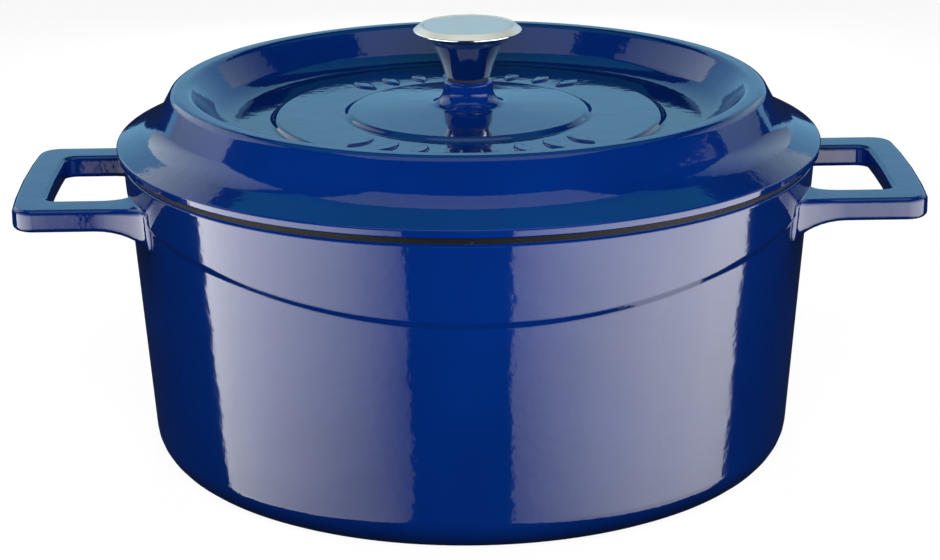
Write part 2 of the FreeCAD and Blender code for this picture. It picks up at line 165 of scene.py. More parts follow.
class KnobSizes(bpy.types.PropertyGroup):
    """Sizes of the knob, with heights from the bottom of its stem."""
    seat: length("Seat", "Height of the bottom of the stem", KNOB_LOW.z)
    bore: length("Bore", "Radius of the threaded hole", 0.003)
    bore_depth: length("Bore depth", "Depth of the threaded hole", 0.012)
    stem: length("Stem", "Radius of the bottom of the stem", 0.0089)
    cone: length("Cone", "Radius of the cone under the collar", 0.0150)
    collar: length("Collar", "Radius of the collar under the flange", 0.0167)
    flange: length("Flange", "Radius of the flange", KNOB_HIGH.x)
    top: length("Top", "Radius where the flange's upper slope ends", 0.0196)
    recess: length("Recess", "Radius of the recess for the face", 0.0184)
    height: length("Height", "Height of the knob", KNOB_HIGH.z - KNOB_LOW.z)
    face: length("Face", "Radius of the face", FACE_HIGH.x)
    face_thickness: length("Face thickness", "Thickness of the face", FACE_HIGH.z - FACE_LOW.z)
    steps: count("Steps", "Divisions round the knob", 128)


class Finishes(bpy.types.PropertyGroup):
    """Colours and surface qualities."""
    cobalt: paint("Cobalt", "Enamel where it lies at its usual depth", (0.0004, 0.024, 0.190))
    cobalt_deep: paint("Deep cobalt", "Enamel where it has pooled", (0.0003, 0.018, 0.150))
    black: paint("Black enamel", "Matte enamel inside and on the lip", (0.0045, 0.0045, 0.0055))
    steel: paint("Polished steel", "Colour of the polished knob", (0.80, 0.80, 0.80))
    satin: paint("Satin steel", "Colour of the knob's face", (0.95, 0.88, 0.80))
    rubber: paint("Gasket", "Colour of the silicone gasket", (0.020, 0.020, 0.022))
    peel: length("Peel", "Depth of the enamel's orange peel", 0.00005)


class StageLook(bpy.types.PropertyGroup):
    """Camera and studio."""
    camera: FloatVectorProperty(name="Camera", description="Where the camera stands",
                                default=(-0.01965, -1.0826, 0.4095), unit="LENGTH", size=3)
    pitch: turn("Pitch", "How far the camera looks down", 17.445)
    heading: turn("Heading", "How far the camera looks towards the right handle", 1.04)
    roll: turn("Roll", "How far the camera leans", 0.57)
    lens: plain("Lens", "Focal length in millimetres", 103.5)
    floor: paint("Floor", "Colour of the floor", (0.96, 0.96, 0.96))


GROUPS = {
    "oven_pot": PotSizes,
    "oven_handles": HandleSizes,
    "oven_lid": LidSizes,
    "oven_knob": KnobSizes,
    "oven_finishes": Finishes,
    "oven_stage": StageLook,
}


# ---- turned and cast shapes ----

def round_corner(bm, corner, rounding, segments):
    """Round one corner of a line to a radius."""
    before, after = [edge.other_vert(corner).co - corner.co for edge in corner.link_edges]
    bend = math.pi - before.angle(after)
    bmesh.ops.bevel(bm, geom=[corner], offset=rounding * math.tan(bend / 2), offset_type="OFFSET",
                    segments=segments, profile=0.5, affect="VERTICES", clamp_overlap=False, material=-1)


def wire(corners, closed=False, segments=6):
    """A line through (radius, height, rounding) corners, in the plane of X and Z."""
    bm = bmesh.new()
    points = [bm.verts.new((radius, 0.0, height)) for radius, height, rounding in corners]
    following = points[1:] + points[:1] if closed else points[1:]
    for pair in zip(points, following):
        bm.edges.new(pair)
    for point, (radius, height, rounding) in zip(points, corners):
        if rounding:
            round_corner(bm, point, rounding, segments)
    return bm


def turned(corners, steps, closed=False, segments=6):
    """A full turn of an outline about Z, merged along its seam and its poles."""
    bm = wire(corners, closed, segments)
    bmesh.ops.spin(bm, geom=bm.verts[:] + bm.edges[:], axis=(0, 0, 1), cent=(0, 0, 0),
                   angle=2 * math.pi, steps=steps, use_merge=True)
    bmesh.ops.remove_doubles(bm, verts=bm.verts, dist=1e-6)
    bmesh.ops.recalc_face_normals(bm, faces=bm.faces)
    return bm


def cast(name, bm, finishes, body, node):
    """Turn a finished bmesh into a piece that stands for a node of the frame and rides its body."""
    mesh = bpy.data.meshes.new(name)
    for face in bm.faces:
        face.smooth = True
    bm.to_mesh(mesh)
    bm.free()
    for finish in finishes:
        mesh.materials.append(finish)
    piece = bpy.data.objects.new(name, mesh)
    bpy.context.scene.collection.objects.link(piece)
    normals = piece.modifiers.new("even_normals", "WEIGHTED_NORMAL")
    normals.mode = "FACE_AREA"
    normals.weight = 60
    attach(piece, body)
    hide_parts(node)
    return piece


def plan_line(bm, points):
    """A flat line through (x, y, z, rounding) points, with its corners rounded."""
    made = [bm.verts.new(point[:3]) for point in points]
    for pair in zip(made, made[1:]):
        bm.edges.new(pair)
    for vert, point in zip(made, points):
        if point[3]:
            round_corner(bm, vert, point[3], 6)


# ---- pot ----

def wall_slope(pot):
    """How far the lower wall moves out for each metre of height."""
    return (pot.wall_lean - pot.band_proud) / (pot.height - pot.lip_height)


def wall_radius(pot, height):
    """Outside of the lower wall at a height."""
    return pot.rim_radius - pot.wall_lean + wall_slope(pot) * height


def outward(face):
    """How far a face looks away from the axis, from -1 to 1."""
    middle = face.calc_center_median()
    radius = math.hypot(middle.x, middle.y)
    return (face.normal.x * middle.x + face.normal.y * middle.y) / radius if radius > 1e-6 else 0.0


def vessel(pot):
    """The vessel, turned, with the band's edge swept up towards the handles."""
    rim = pot.height - pot.lip_height
    band = pot.height - pot.band_drop
    mouth = pot.rim_radius - pot.rim_width
    lip = pot.rim_radius - pot.lip_setback
    inside = pot.rim_radius - pot.wall_lean - pot.wall
    edge_top = band + pot.band_edge
    below = band - pot.band_margin
    above = edge_top + pot.band_margin
    bm = turned([
        (0.0, 0.0, None),
        (wall_radius(pot, 0.0), 0.0, pot.foot_round),
        (wall_radius(pot, pot.band_fade_low), pot.band_fade_low, None),
        (wall_radius(pot, pot.wall_row), pot.wall_row, None),
        (wall_radius(pot, below), below, None),
        (wall_radius(pot, band), band, 0.0030),
        (wall_radius(pot, edge_top) + pot.band_proud, edge_top, 0.0030),
        (wall_radius(pot, above) + pot.band_proud, above, None),
        (wall_radius(pot, pot.band_fade_high) + pot.band_proud, pot.band_fade_high, None),
        (pot.rim_radius, rim, 0.0009),
        (lip, rim, 0.0003),
        (lip, pot.height, 0.0008),
        (mouth, pot.height, 0.0008),
        (mouth, pot.height - pot.mouth_depth, None),
        (inside, pot.floor, pot.floor_round),
        (0.0, pot.floor, None),
    ], pot.steps, segments=8)
    for vert in bm.verts:
        radius = math.hypot(vert.co.x, vert.co.y)
        height = vert.co.z
        outside = radius > wall_radius(pot, height) - 0.0005
        if not outside or not pot.band_fade_low < height < pot.band_fade_high:
            continue
        if height < band:
            share = (height - pot.band_fade_low) / (band - pot.band_fade_low)
        else:
            share = min(1.0, (pot.band_fade_high - height) / (pot.band_fade_high - above))
        rise = share * (pot.band_sweep - math.sqrt(pot.band_sweep ** 2 - vert.co.x ** 2))
        grown = (radius + rise * wall_slope(pot)) / radius
        vert.co = (vert.co.x * grown, vert.co.y * grown, height + rise)
    for face in bm.faces:
        middle = face.calc_center_median()
        inward = outward(face) < -0.05 or face.normal.z > 0.3
        lining = middle.z > pot.floor / 2 and inward and math.hypot(middle.x, middle.y) < mouth
        base = middle.z < 0.0001
        face.material_index = 1 if lining or base or middle.z > rim + 0.0002 else 0
    return bm


def loop_handle(pot, handle):
    """One loop handle: a flat bar bent round three sides, its ends swelling into the wall."""
    bm = bmesh.new()
    bottom = handle.top - handle.thickness
    side = handle.half_width
    inner_side = side - handle.side_bar
    end = handle.tip
    grip = end - handle.end_bar
    start = handle.root_start
    for reach, width, corner, bow in ((end, side, handle.corner, handle.bow),
                                      (grip, inner_side, handle.finger_corner, handle.bow * 0.4)):
        plan_line(bm, [
            (start, -width, bottom, None),
            ((start + reach) / 2, -width, bottom, None),
            (reach - bow, -width, bottom, corner),
            (reach - bow * 0.25, -width * 0.5, bottom, None),
            (reach, 0.0, bottom, None),
            (reach - bow * 0.25, width * 0.5, bottom, None),
            (reach - bow, width, bottom, corner),
            ((start + reach) / 2, width, bottom, None),
            (start, width, bottom, None),
        ])
    bmesh.ops.bridge_loops(bm, edges=bm.edges[:])
    raised = bmesh.ops.extrude_face_region(bm, geom=bm.faces[:])
    tops = [item for item in raised["geom"] if isinstance(item, bmesh.types.BMVert)]
    bmesh.ops.translate(bm, verts=tops, vec=(0, 0, handle.thickness))
    bmesh.ops.recalc_face_normals(bm, faces=bm.faces)
    caps = [face for face in bm.faces if all(abs(vert.co.x - start) < 1e-6 for vert in face.verts)]
    bmesh.ops.delete(bm, geom=caps, context="FACES_ONLY")
    long_edges = [edge for edge in bm.edges
                  if len(edge.link_faces) == 2 and edge.calc_face_angle() > 1.2
                  and abs(edge.verts[0].co.z - edge.verts[1].co.z) < 1e-6]
    bmesh.ops.bevel(bm, geom=long_edges, offset=handle.edge, offset_type="OFFSET", segments=5,
                    profile=0.5, affect="EDGES", clamp_overlap=True, material=-1)
    swell_roots(bm, pot, handle)
    return bm


def swell_roots(bm, pot, handle):
    """Carry the open ends of a handle's bars to the wall, ring by ring, spreading like a fillet."""
    middle_y = handle.half_width - handle.side_bar / 2
    middle_z = handle.top - handle.thickness / 2
    home = bm.verts.layers.float_vector.new("home")
    ring = [edge for edge in bm.edges if edge.is_boundary]
    for vert in {vert for edge in ring for vert in edge.verts}:
        vert[home] = vert.co
    for step in range(1, handle.root_rings + 2):
        bend = math.radians(90) * min(step, handle.root_rings) / handle.root_rings
        sunk = handle.root_sink if step > handle.root_rings else 0.0
        spread = 1 - math.cos(bend)
        grown = bmesh.ops.extrude_edge_only(bm, edges=ring)["geom"]
        ring = [item for item in grown if isinstance(item, bmesh.types.BMEdge) and item.is_boundary]
        for vert in {vert for edge in ring for vert in edge.verts}:
            first = vert[home]
            across = (abs(first.y) - middle_y) / (handle.side_bar / 2)
            up = (first.z - middle_z) / (handle.thickness / 2)
            aside = handle.root_outside if across > 0 else handle.root_inside
            rise = handle.root_above if up > 0 else handle.root_below
            y = abs(first.y) + across * aside * spread
            z = first.z + up * rise * spread
            wall = math.sqrt((wall_radius(pot, z) + pot.band_proud) ** 2 - y ** 2)
            x = first.x - (first.x - wall) * math.sin(bend) - sunk
            vert.co = (x, math.copysign(y, first.y), z)
    bmesh.ops.holes_fill(bm, edges=ring, sides=0)
    bm.verts.layers.float_vector.remove(home)


def petal_arc(lid, side, sides=24):
    """Soft raised petals along an arc of the band, pointing to the middle."""
    bm = bmesh.new()
    middle = (lid.petal_inner + lid.petal_outer) / 2
    half = (lid.petal_outer - lid.petal_inner) / 2
    upright = 0.0009
    crown = ((0.92, 0.00045), (0.86, 0.00025), (0.70, 0.0001))
    outline = bmesh.ops.create_circle(bm, cap_ends=True, radius=1.0, segments=sides)["verts"]
    for vert in outline:
        narrow = 1 - 0.6 * vert.co.y ** 2
        vert.co = (vert.co.x * lid.petal_half_width * narrow, vert.co.y * half, 0.0)
    top = bmesh.ops.extrude_face_region(bm, geom=bm.faces[:])["geom"]
    face = next(item for item in top if isinstance(item, bmesh.types.BMFace))
    bmesh.ops.translate(bm, verts=face.verts[:], vec=(0, 0, upright))
    bmesh.ops.recalc_face_normals(bm, faces=bm.faces)
    for smaller, rise in crown:
        face = bmesh.ops.extrude_discrete_faces(bm, faces=[face])["faces"][0]
        bmesh.ops.scale(bm, verts=face.verts[:], vec=(smaller, smaller, 1.0))
        bmesh.ops.translate(bm, verts=face.verts[:], vec=(0, 0, rise))
    foot = lid.seat + lid.band + lid.petal_height - upright - sum(rise for smaller, rise in crown)
    first = side - lid.petal_arc / 2
    bmesh.ops.transform(bm, verts=bm.verts[:], matrix=Matrix.Rotation(first, 4, "Z")
                        @ Matrix.Translation((0, -middle, foot)))
    bmesh.ops.spin(bm, geom=bm.verts[:] + bm.edges[:] + bm.faces[:], axis=(0, 0, 1), cent=(0, 0, 0),
                   angle=lid.petal_arc, steps=lid.petal_count - 1, use_duplicate=True)
    return bm


def basting_bumps(lid, radius, number):
    """A ring of low round bumps under the lid."""
    bm = bmesh.new()
    bmesh.ops.create_uvsphere(bm, u_segments=20, v_segments=10, radius=1.0)
    shape = Matrix.Diagonal((lid.bump_radius, lid.bump_radius, lid.bump_drop, 1.0))
    place = Matrix.Translation((radius, 0, lid.seat + lid.underside))
    bmesh.ops.transform(bm, verts=bm.verts[:], matrix=place @ shape)
    bmesh.ops.spin(bm, geom=bm.verts[:] + bm.edges[:] + bm.faces[:], axis=(0, 0, 1), cent=(0, 0, 0),
                   angle=2 * math.pi * (number - 1) / number, steps=number - 1, use_duplicate=True)
    for face in bm.faces:
        face.material_index = 1
    return bm


def join(whole, part, turned_by=0.0):
    """Add one bmesh to another, turned about Z."""
    mesh = bpy.data.meshes.new("part")
    bmesh.ops.rotate(part, verts=part.verts[:], cent=(0, 0, 0), matrix=Matrix.Rotation(turned_by, 3, "Z"))
    part.to_mesh(mesh)
    whole.from_mesh(mesh)
    bpy.data.meshes.remove(mesh)


def lid_casting(lid):
    """The lid's casting: skirt, shoulder, crest, dish, raised bands, boss and locating ring."""
    seat, edge, ring = lid.seat, lid.edge, lid.ring
    dish = seat + 0.0099
    band = seat + lid.band
    disc = band + 0.0017
    under = seat + lid.underside
    slope = edge - 0.0429
    bm = turned([
        (lid.hole, lid.boss_top, None),
        (lid.boss, lid.boss_top, 0.0018),
        (lid.boss, disc + lid.crown, 0.0065),
        (lid.disc - 0.0010, disc, 0.0030),
        (lid.disc + 0.0012, band, 0.0025),
        (slope - 0.0225, band, 0.0025),
        (slope - 0.0205, dish, 0.0025),
        (slope, dish, 0.013),
        (edge - 0.0305, seat + 0.0248, 0.0042),
        (edge - 0.0232, seat + 0.0248, 0.0042),
        (edge - 0.0149, seat + 0.0094, 0.015),
        (edge, seat + 0.0030, 0.0009),
        (edge, seat, 0.0007),
        (ring, seat, None),
        (ring, seat - 0.0045, 0.0012),
        (ring - 0.004, seat - 0.0045, 0.0012),
        (ring - 0.004, seat + 0.0037, 0.003),
        (edge - 0.0181, seat + 0.0060, 0.009),
        (edge - 0.0253, seat + 0.0196, 0.0008),
        (edge - 0.0292, seat + 0.0196, 0.0008),
        (slope + 0.002, under, 0.013),
        (0.043, under, None),
        (0.040, seat + 0.0091, None),
        (lid.hole, seat + 0.0091, None),
    ], lid.steps, closed=True, segments=8)
    for face in bm.faces:
        middle = face.calc_center_median()
        radius = math.hypot(middle.x, middle.y)
        under_edge = radius > edge - 0.002 and face.normal.z > -0.9
        hidden = face.normal.z < -0.02 or middle.z < seat or radius < lid.hole + 0.0001
        face.material_index = 1 if hidden and not under_edge else 0
    return bm


def knob_turning(knob):
    """The knob's body: polished stem, flaring cone, collar and flange, with a satin upper slope."""
    seat = knob.seat
    top = seat + knob.height
    rim = seat + 0.0197
    recess_floor = top - 0.0014
    bm = turned([
        (0.0, seat + knob.bore_depth, None),
        (knob.bore, seat + knob.bore_depth, None),
        (knob.bore, seat, None),
        (knob.stem, seat, 0.0009),
        (0.0112, seat + 0.0078, 0.030),
        (knob.cone, seat + 0.0146, 0.0003),
        (knob.collar, seat + 0.0151, 0.0003),
        (knob.collar, seat + 0.0166, 0.0002),
        (knob.flange, seat + 0.0188, 0.0004),
        (knob.flange, rim, 0.0004),
        (knob.top, top, 0.0005),
        (knob.recess, top, 0.0002),
        (knob.recess, recess_floor, None),
        (0.0, recess_floor, None),
    ], knob.steps, segments=5)
    for face in bm.faces:
        face.material_index = 1 if face.calc_center_median().z > rim + 0.0001 else 0
    return bm


def face_turning(knob):
    """The satin disc set in the knob's top."""
    top = FACE_HIGH.z
    foot = top - knob.face_thickness
    return turned([
        (0.0, foot, None),
        (knob.face, foot, None),
        (knob.face, top, 0.0004),
        (knob.face * 0.5, top, None),
        (0.0, top, None),
    ], knob.steps, segments=4)


# ---- shared effects ----

def effect(name, inputs, outputs):
    """An empty shared effect with its sockets."""
    group = bpy.data.node_groups.new(name, "ShaderNodeTree")
    for label, default in inputs:
        socket = group.interface.new_socket(label, in_out="INPUT", socket_type="NodeSocketFloat")
        socket.default_value = default
    for label in outputs:
        group.interface.new_socket(label, in_out="OUTPUT", socket_type="NodeSocketFloat")
    return group, group.nodes.new("NodeGroupInput"), group.nodes.new("NodeGroupOutput")


def noise(tree, place, scale, detail=2.0, roughness=0.5):
    node = tree.nodes.new("ShaderNodeTexNoise")
    node.inputs["Scale"].default_value = scale
    node.inputs["Detail"].default_value = detail
    node.inputs["Roughness"].default_value = roughness
    tree.links.new(place, node.inputs["Vector"])
    return node.outputs["Fac"]


def maths(tree, operation, first, second, third=None):
    node = tree.nodes.new("ShaderNodeMath")
    node.operation = operation
    for socket, value in zip(node.inputs, (first, second, third)):
        if isinstance(value, bpy.types.NodeSocket):
            tree.links.new(value, socket)
        elif value is not None:
            socket.default_value = value
    return node.outputs[0]


def spread(tree, value, low, high, start=0.0, end=1.0):
    """Stretch a value from low..high to start..end."""
    node = tree.nodes.new("ShaderNodeMapRange")
    node.inputs["From Min"].default_value = low
    node.inputs["From Max"].default_value = high
    node.inputs["To Min"].default_value = start
    node.inputs["To Max"].default_value = end
    tree.links.new(value, node.inputs["Value"])
    return node.outputs["Result"]


def glaze_flow():
    """Orange peel and slow unevenness of a fired glaze."""
    group, given, made = effect("glaze_flow", [("Peel", 1.0), ("Waves", 1.0), ("Grit", 0.0)],
                                ["Height", "Depth", "Speck"])
    place = group.nodes.new("ShaderNodeTexCoord").outputs["Object"]
    peel = noise(group, place, 240.0, 1.5)
    fine = noise(group, place, 620.0, 1.0)
    wave = noise(group, place, 42.0, 1.0)
    height = maths(group, "MULTIPLY", peel, given.outputs["Peel"])
    height = maths(group, "MULTIPLY_ADD", fine, 0.22, height)
    height = maths(group, "MULTIPLY_ADD", maths(group, "MULTIPLY", wave, given.outputs["Waves"]), 4.0, height)
    grit = noise(group, place, 2600.0, 2.0, 0.7)
    height = maths(group, "MULTIPLY_ADD", grit, given.outputs["Grit"], height)
    depth = spread(group, noise(group, place, 16.0, 3.0), 0.3, 0.7)
    speck = spread(group, noise(group, place, 900.0, 1.0), 0.66, 0.74)
    group.links.new(height, made.inputs["Height"])
    group.links.new(depth, made.inputs["Depth"])
    group.links.new(speck, made.inputs["Speck"])
    return group


def turned_grain():
    """Fine rings and faint handling marks of turned and polished metal."""
    group, given, made = effect("turned_grain", [("Rings", 1.0)], ["Height", "Grain", "Smear"])
    place = group.nodes.new("ShaderNodeTexCoord").outputs["Object"]
    parts = group.nodes.new("ShaderNodeSeparateXYZ")
    group.links.new(place, parts.inputs["Vector"])
    radius = maths(group, "POWER", maths(group, "ADD", maths(group, "POWER", parts.outputs["X"], 2.0),
                                         maths(group, "POWER", parts.outputs["Y"], 2.0)), 0.5)
    ring = group.nodes.new("ShaderNodeCombineXYZ")
    group.links.new(radius, ring.inputs["X"])
    group.links.new(parts.outputs["Z"], ring.inputs["Y"])
    grain = noise(group, ring.outputs["Vector"], 5200.0, 3.0, 0.7)
    height = maths(group, "MULTIPLY", grain, given.outputs["Rings"])
    smear = spread(group, noise(group, place, 130.0, 3.0, 0.6), 0.35, 0.65)
    group.links.new(height, made.inputs["Height"])
    group.links.new(grain, made.inputs["Grain"])
    group.links.new(smear, made.inputs["Smear"])
    return group


def finish(name, settings):
    """A material with a Principled shader and its plain settings."""
    material = bpy.data.materials.new(name)
    material.use_nodes = True
    shader = material.node_tree.nodes["Principled BSDF"]
    for label, value in settings.items():
        shader.inputs[label].default_value = value
    return material, material.node_tree, shader


def use_effect(tree, group, **values):
    """A shared effect placed in a material, with its inputs set."""
    node = tree.nodes.new("ShaderNodeGroup")
    node.node_tree = group
    for label, value in values.items():
        node.inputs[label].default_value = value
    return node


def between(tree, factor, first, second):
    """A colour mixed from two by a factor."""
    node = tree.nodes.new("ShaderNodeMix")
    node.data_type = "RGBA"
    tree.links.new(factor, node.inputs["Factor"])
    node.inputs["A"].default_value = (*first, 1.0)
    node.inputs["B"].default_value = (*second, 1.0)
    return node.outputs["Result"]


def bumped(tree, shader, height, depth):
    """Fine relief on a shader's normal."""
    node = tree.nodes.new("ShaderNodeBump")
    node.inputs["Strength"].default_value = 1.0
    node.inputs["Distance"].default_value = depth
    tree.links.new(height, node.inputs["Height"])
    tree.links.new(node.outputs["Normal"], shader.inputs["Normal"])


def cobalt_enamel(looks, flow):
    """Glossy blue enamel over cast iron."""
    material, tree, shader = finish("cobalt_enamel", {"IOR": 1.5})
    glaze = use_effect(tree, flow, Peel=1.0, Waves=1.0)
    colour = between(tree, glaze.outputs["Depth"], looks.cobalt_deep, looks.cobalt)
    tree.links.new(colour, shader.inputs["Base Color"])
    tree.links.new(spread(tree, glaze.outputs["Depth"], 0.0, 1.0, 0.05, 0.075), shader.inputs["Roughness"])
    bumped(tree, shader, glaze.outputs["Height"], looks.peel)
    return material


def black_enamel(looks, flow):
    """Matte black enamel inside the pot, under the lid and on the lip."""
    material, tree, shader = finish("black_enamel", {"IOR": 1.45, "Specular IOR Level": 0.16})
    glaze = use_effect(tree, flow, Peel=1.0, Waves=0.5, Grit=1.2)
    pale = tuple(part * 3.0 + 0.012 for part in looks.black)
    tree.links.new(between(tree, glaze.outputs["Speck"], looks.black, pale), shader.inputs["Base Color"])
    tree.links.new(spread(tree, glaze.outputs["Depth"], 0.0, 1.0, 0.48, 0.60), shader.inputs["Roughness"])
    bumped(tree, shader, glaze.outputs["Height"], looks.peel)
    return material


def metal(name, colour, rough, smooth, rings, depth, metallic=1.0):
    """Turned stainless steel, from polished to satin."""
    material, tree, shader = finish(name, {"Metallic": metallic})
    marks = use_effect(tree, grain(), Rings=rings)
    dull = tuple(part * 0.93 for part in colour)
    tree.links.new(between(tree, marks.outputs["Grain"], dull, colour), shader.inputs["Base Color"])
    tree.links.new(spread(tree, marks.outputs["Smear"], 0.0, 1.0, smooth, rough), shader.inputs["Roughness"])
    bumped(tree, shader, marks.outputs["Height"], depth)
    return material


def silicone(looks, flow):
    """Soft black gasket."""
    material, tree, shader = finish("black_silicone", {"IOR": 1.41})
    skin = use_effect(tree, flow, Peel=0.5, Waves=0.0, Grit=2.0)
    pale = tuple(part * 1.6 for part in looks.rubber)
    tree.links.new(between(tree, skin.outputs["Depth"], looks.rubber, pale), shader.inputs["Base Color"])
    tree.links.new(spread(tree, skin.outputs["Depth"], 0.0, 1.0, 0.55, 0.68), shader.inputs["Roughness"])
    bumped(tree, shader, skin.outputs["Height"], looks.peel * 0.5)
    return material


def shared(name, make):
    """An effect or a material by name, made once."""
    found = bpy.data.materials.get(name) or bpy.data.node_groups.get(name)
    return found or make()


def flow():
    return shared("glaze_flow", glaze_flow)


def grain():
    return shared("turned_grain", turned_grain)


def cobalt(looks):
    return shared("cobalt_enamel", lambda: cobalt_enamel(looks, flow()))


def matte_black(looks):
    return shared("black_enamel", lambda: black_enamel(looks, flow()))


# ---- studio ----

def glowing(name, colour, strength, start, end, ramp, fade, soft_top):
    """A light panel's material: brightness from a ramp of (share of its length, value), which starts at
    0 and ends at 1, fading below one height and, where it has a soft top, above another.
    """
    material = bpy.data.materials.new(name)
    material.use_nodes = True
    tree = material.node_tree
    tree.nodes.clear()
    light = tree.nodes.new("ShaderNodeEmission")
    out = tree.nodes.new("ShaderNodeOutputMaterial")
    light.inputs["Color"].default_value = (*colour, 1.0)
    place = tree.nodes.new("ShaderNodeTexCoord").outputs["Object"]
    along = Vector(end) - Vector(start)
    dot = tree.nodes.new("ShaderNodeVectorMath")
    dot.operation = "DOT_PRODUCT"
    dot.inputs[1].default_value = along / along.length_squared
    tree.links.new(place, dot.inputs[0])
    first = Vector(start).dot(along) / along.length_squared
    share = maths(tree, "SUBTRACT", dot.outputs["Value"], first)
    steps = tree.nodes.new("ShaderNodeValToRGB")
    for position, value in ramp[1:-1]:
        steps.color_ramp.elements.new(position)
    for element, (position, value) in zip(steps.color_ramp.elements, ramp):
        element.color = (value, value, value, 1.0)
    tree.links.new(share, steps.inputs["Fac"])
    parts = tree.nodes.new("ShaderNodeSeparateXYZ")
    tree.links.new(place, parts.inputs["Vector"])
    low, high, dim = fade
    upward = spread(tree, parts.outputs["Z"], low, high, dim, 1.0)
    level = maths(tree, "MULTIPLY", steps.outputs["Color"], upward)
    if soft_top:
        level = maths(tree, "MULTIPLY", level, spread(tree, parts.outputs["Z"], *soft_top))
    tree.links.new(maths(tree, "MULTIPLY", level, strength), light.inputs["Strength"])
    tree.links.new(light.outputs["Emission"], out.inputs["Surface"])
    return material


def panel(name, start, end, low, high, colour, strength, ramp=((0.0, 1.0), (1.0, 1.0)),
          fade=(-0.30, -0.13, 1.0), soft_top=None, level=None):
    """A light panel seen only in reflections: upright from low to high over a line, or flat at a level
    and as deep as low to high along Y.

    fade is (from height, to height, brightness below), and soft_top is (from height, to height,
    brightness below, brightness above).
    """
    bm = bmesh.new()
    if level is None:
        foot = [bm.verts.new((*point, low)) for point in (start, end)]
        lift = (0, 0, high - low)
    else:
        foot = [bm.verts.new((point[0], low, level)) for point in (start, end)]
        lift = (0, high - low, 0)
    bm.edges.new(foot)
    raised = bmesh.ops.extrude_edge_only(bm, edges=bm.edges[:])["geom"]
    tops = [item for item in raised if isinstance(item, bmesh.types.BMVert)]
    bmesh.ops.translate(bm, verts=tops, vec=lift)
    mesh = bpy.data.meshes.new(name)
    bm.to_mesh(mesh)
    bm.free()
    mesh.materials.append(glowing(name, colour, strength, (*start, 0.0), (*end, 0.0), ramp, fade, soft_top))
    made = bpy.data.objects.new(name, mesh)
    bpy.context.scene.collection.objects.link(made)
    made.visible_camera = False
    made.visible_diffuse = False
    made.visible_shadow = False


def soft_light(name, place, aim, size, power):
    """A soft area light that lights the colours but isn't seen in reflections."""
    lamp = bpy.data.lights.new(name, "AREA")
    lamp.shape = "DISK"
    lamp.size = size
    lamp.energy = power
    made = bpy.data.objects.new(name, lamp)
    made.location = place
    made.rotation_euler = (Vector(aim) - Vector(place)).to_track_quat("-Z", "Y").to_euler()
    made.visible_glossy = False
    made.visible_camera = False
    bpy.context.scene.collection.objects.link(made)


def side_panels():
    """The two tall panels beside the camera, which draw the strips down the pot's wall."""
    white = (1.0, 1.0, 1.0)
    panel("left_panel", (-0.23, -0.63), (-0.55, 0.002), low=-0.32, high=0.30, colour=white, strength=8.6,
          ramp=((0.0, 0.15), (0.3, 0.45), (1.0, 1.0)),
          fade=(-0.22, -0.02, 0.50), soft_top=(0.06, 0.24, 1.0, 0.12))
    panel("right_panel", (0.135, -0.65), (0.557, 0.023), low=-0.34, high=0.33, colour=white, strength=6.3,
          ramp=((0.0, 0.38), (0.1, 0.47), (0.42, 0.84), (0.58, 1.0), (0.8, 1.0), (1.0, 0.8)),
          fade=(-0.28, -0.04, 0.45), soft_top=(0.10, 0.30, 1.0, 0.1))


def high_panels():
    """The panels above and behind, which draw the lid's pale blue and teal reflections."""
    panel("left_high_panel", (-0.62, 0.05), (-0.50, 0.80), low=0.20, high=0.90, colour=(0.85, 1.0, 1.0),
          strength=1.7, fade=(0.20, 0.36, 0.3), soft_top=(0.5, 0.9, 1.0, 0.4))
    panel("right_high_panel", (0.62, 0.10), (0.50, 0.80), low=0.22, high=0.70, colour=(0.75, 1.0, 1.0),
          strength=1.2, fade=(0.22, 0.40, 0.3), soft_top=(0.45, 0.7, 1.0, 0.3))
    panel("back_panel", (-1.5, 1.5), (1.5, 1.5), low=0.2, high=1.2, colour=(0.36, 0.80, 1.12), strength=0.9)
    panel("overhead_panel", (-0.5, 0.0), (0.5, 0.0), low=-0.55, high=0.06, colour=(0.85, 1.0, 0.95),
          strength=0.95, level=1.05)
    panel("overhead_back_panel", (-0.6, 0.0), (0.6, 0.0), low=0.06, high=0.75, colour=(0.07, 0.45, 0.46),
          strength=0.9, level=1.05)


def soft_lights():
    """The lights that bring out the enamel's own colour on every side."""
    soft_light("front_light", (0.0, -0.60, 0.30), aim=(0.0, 0.0, 0.10), size=0.30, power=3.4)
    for name, place in (("left_light", (-0.75, 0.10, 0.30)), ("right_light", (0.75, 0.10, 0.30)),
                        ("back_light", (0.0, 0.80, 0.30))):
        soft_light(name, place, aim=(0.0, 0.0, 0.08), size=0.40, power=3.0)


def studio_floor(stage):
    """A pale floor just under the pot, kept out of the reflections."""
    bm = bmesh.new()
    bmesh.ops.create_grid(bm, x_segments=1, y_segments=1, size=20.0)
    bmesh.ops.translate(bm, verts=bm.verts[:], vec=(0, 0, -0.0003))
    mesh = bpy.data.meshes.new("floor")
    bm.to_mesh(mesh)
    bm.free()
    material, tree, shader = finish("pale_floor", {"Roughness": 1.0, "Specular IOR Level": 0.0})
    shader.inputs["Base Color"].default_value = (0.10, 0.10, 0.10, 1.0)
    shader.inputs["Emission Color"].default_value = (*stage.floor, 1.0)
    shader.inputs["Emission Strength"].default_value = 0.97
    mesh.materials.append(material)
    floor = bpy.data.objects.new("floor", mesh)
    bpy.context.scene.collection.objects.link(floor)
    floor.visible_glossy = False
    floor.visible_diffuse = False


